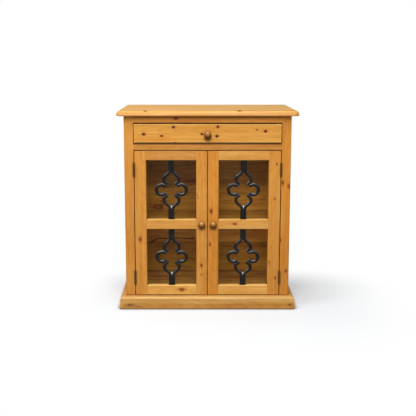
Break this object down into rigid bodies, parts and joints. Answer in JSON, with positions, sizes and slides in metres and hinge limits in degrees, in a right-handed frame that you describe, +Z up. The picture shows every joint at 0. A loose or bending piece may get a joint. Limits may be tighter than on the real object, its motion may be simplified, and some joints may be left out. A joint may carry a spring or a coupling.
{
  "type": "display cabinet",
  "caption": "Pine display cabinet with a wide drawer over a pair of glazed doors with wrought iron tracery, a moulded top and a moulded plinth.",
  "frame": {"origin": "on the floor, under the middle of the whole cabinet, with the drawer's knob counted in its depth", "axes": "+Z up, front with drawer and doors towards -Y, +X to the right seen from the front"},
  "size_m": [0.866, 0.408, 0.975],
  "materials": {
    "waxed_pine": "honey-coloured pine, waxed to a satin sheen, with knots and grain",
    "inside_pine": "darker stained pine, unpolished, with grain along each board",
    "turned_pine": "turned and polished redder wood",
    "wrought_iron": "black wrought iron, hammered and waxed to a soft sheen",
    "hinge_bronze": "steel with an antique bronze lacquer",
    "clear_glass": "clear drawn glass",
    "catch_plastic": "brown moulded plastic round a magnet",
    "strike_steel": "zinc-plated steel"
  },
  "bodies": {
    "carcass": {"top_board": "waxed_pine", "left_side": "waxed_pine", "right_side": "waxed_pine", "left_frame_stile": "waxed_pine", "right_frame_stile": "waxed_pine", "frieze_rail": "waxed_pine", "drawer_rail": "waxed_pine", "sill_rail": "waxed_pine", "floor_board": "inside_pine", "floor_battens": "inside_pine", "shelf": "inside_pine", "shelf_battens": "inside_pine", "back_boards": "inside_pine", "dust_board": "inside_pine", "left_drawer_runner": "inside_pine", "right_drawer_runner": "inside_pine", "drawer_kickers": "inside_pine", "drawer_stops": "inside_pine", "top_battens": "inside_pine", "plinth_front": "waxed_pine", "plinth_left": "waxed_pine", "plinth_right": "waxed_pine", "door_catches": "catch_plastic", "frame_hinge_leaves": "hinge_bronze", "hinge_pins": "hinge_bronze", "frame_hinge_screws": "hinge_bronze"},
    "drawer": {"drawer_front": "waxed_pine", "drawer_left_side": "inside_pine", "drawer_right_side": "inside_pine", "drawer_back": "inside_pine", "drawer_bottom": "inside_pine", "drawer_knob": "turned_pine"},
    "left_door": {"left_door_hinge_stile": "waxed_pine", "left_door_meeting_stile": "waxed_pine", "left_door_top_rail": "waxed_pine", "left_door_middle_rail": "waxed_pine", "left_door_bottom_rail": "waxed_pine", "left_door_upper_glass": "clear_glass", "left_door_lower_glass": "clear_glass", "left_door_glazing_beads": "inside_pine", "left_door_upper_ironwork": "wrought_iron", "left_door_lower_ironwork": "wrought_iron", "left_door_knob": "turned_pine", "left_door_hinge_leaves": "hinge_bronze", "left_door_hinge_screws": "hinge_bronze", "left_door_strike_plate": "strike_steel"},
    "right_door": {"right_door_hinge_stile": "waxed_pine", "right_door_meeting_stile": "waxed_pine", "right_door_top_rail": "waxed_pine", "right_door_middle_rail": "waxed_pine", "right_door_bottom_rail": "waxed_pine", "right_door_upper_glass": "clear_glass", "right_door_lower_glass": "clear_glass", "right_door_glazing_beads": "inside_pine", "right_door_upper_ironwork": "wrought_iron", "right_door_lower_ironwork": "wrought_iron", "right_door_knob": "turned_pine", "right_door_hinge_leaves": "hinge_bronze", "right_door_hinge_screws": "hinge_bronze", "right_door_strike_plate": "strike_steel"}
  },
  "joints": [
    {"name": "drawer_slide", "type": "slide", "parent": "carcass", "child": "drawer", "axis": [0, -1, 0], "range_m": [0, 0.28]},
    {"name": "left_door_hinge", "type": "hinge", "parent": "carcass", "child": "left_door", "pos_m": [-0.353, -0.1723, 0.42], "axis": [0, 0, -1], "range_deg": [0, 165]},
    {"name": "right_door_hinge", "type": "hinge", "parent": "carcass", "child": "right_door", "pos_m": [0.353, -0.1723, 0.42], "axis": [0, 0, 1], "range_deg": [0, 165]}
  ]
}
